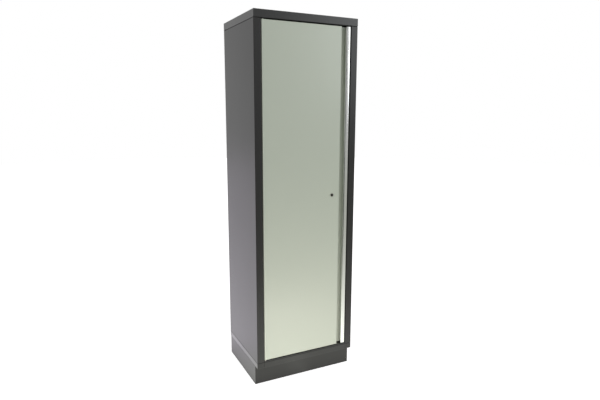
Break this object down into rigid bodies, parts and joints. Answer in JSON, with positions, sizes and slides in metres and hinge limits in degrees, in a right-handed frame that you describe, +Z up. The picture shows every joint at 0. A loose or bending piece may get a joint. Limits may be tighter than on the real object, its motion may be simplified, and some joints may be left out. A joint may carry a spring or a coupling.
{
  "type": "tall tool locker",
  "caption": "Tall single-door sheet-metal tool locker on a recessed plinth, with full-height grooved pull, inner shelves and a two-rod key lock.",
  "frame": {"origin": "on the floor under the middle of the locker", "axes": "+X to the viewer's right across the front, +Y from front to back, +Z up; metres"},
  "size_m": [0.6, 0.47, 2],
  "materials": {
    "body_paint": "satin dark grey powder coat",
    "door_paint": "satin light sage grey powder coat",
    "pull_aluminium": "satin anodised extrusion",
    "zinc_steel": "bright zinc plate",
    "lock_chrome": "polished chrome plate",
    "black_plastic": "moulded black nylon",
    "white_nylon": "moulded natural nylon",
    "ferrite": "ground ferrite",
    "buffer_rubber": "moulded rubber"
  },
  "bodies": {
    "cabinet": {"top_cap": "body_paint", "left_side_panel": "body_paint", "right_side_panel": "body_paint", "back_panel": "body_paint", "bottom_tray": "body_paint", "sill_rail": "body_paint", "floor_panel": "body_paint", "plinth_skirt": "body_paint", "plinth_back": "body_paint", "shelf_1": "body_paint", "shelf_2": "body_paint", "shelf_3": "body_paint", "shelf_4": "body_paint", "shelf_stiffeners": "body_paint", "shelf_upright_left_front": "zinc_steel", "shelf_upright_left_rear": "zinc_steel", "shelf_upright_right_front": "zinc_steel", "shelf_upright_right_rear": "zinc_steel", "shelf_clips": "zinc_steel", "upper_hinge_bracket": "body_paint", "lower_hinge_bracket": "body_paint", "upper_hinge_pin": "zinc_steel", "lower_hinge_pin": "zinc_steel", "thrust_washer": "white_nylon", "catch_housings": "black_plastic", "catch_magnets": "ferrite", "rod_keepers": "black_plastic", "door_buffers": "buffer_rubber"},
    "door": {"door_skin": "door_paint", "door_liner": "door_paint", "door_stiffener": "zinc_steel", "door_top_plate": "zinc_steel", "door_bottom_plate": "zinc_steel", "upper_pivot_bush": "white_nylon", "lower_pivot_bush": "white_nylon", "handle_profile": "pull_aluminium", "strike_plates": "zinc_steel", "rod_guides": "black_plastic", "lock_housing": "lock_chrome", "lock_nut": "zinc_steel"},
    "lock": {"lock_plug": "lock_chrome", "lock_crank": "zinc_steel", "crank_screw": "zinc_steel"},
    "upper_rod": {"upper_rod": "zinc_steel"},
    "lower_rod": {"lower_rod": "zinc_steel"}
  },
  "joints": [
    {"name": "door_hinge", "type": "hinge", "parent": "cabinet", "child": "door", "pos_m": [-0.2495, -0.2275, 1.052], "axis": [0, 0, -1], "range_deg": [0, 110]},
    {"name": "lock_turn", "type": "hinge", "parent": "door", "child": "lock", "pos_m": [0.155, -0.2345, 1.05], "axis": [0, -1, 0], "range_deg": [0, 90]},
    {"name": "upper_rod_slide", "type": "slide", "parent": "door", "child": "upper_rod", "axis": [0, 0, 1], "range_m": [0, 0.0198]},
    {"name": "lower_rod_slide", "type": "slide", "parent": "door", "child": "lower_rod", "axis": [0, 0, -1], "range_m": [0, 0.0198]}
  ],
  "couplings": [
    {"joint": "lock_turn", "follows": "upper_rod_slide", "rad_per_m": 79.337},
    {"joint": "lower_rod_slide", "follows": "upper_rod_slide", "ratio": 1}
  ]
}
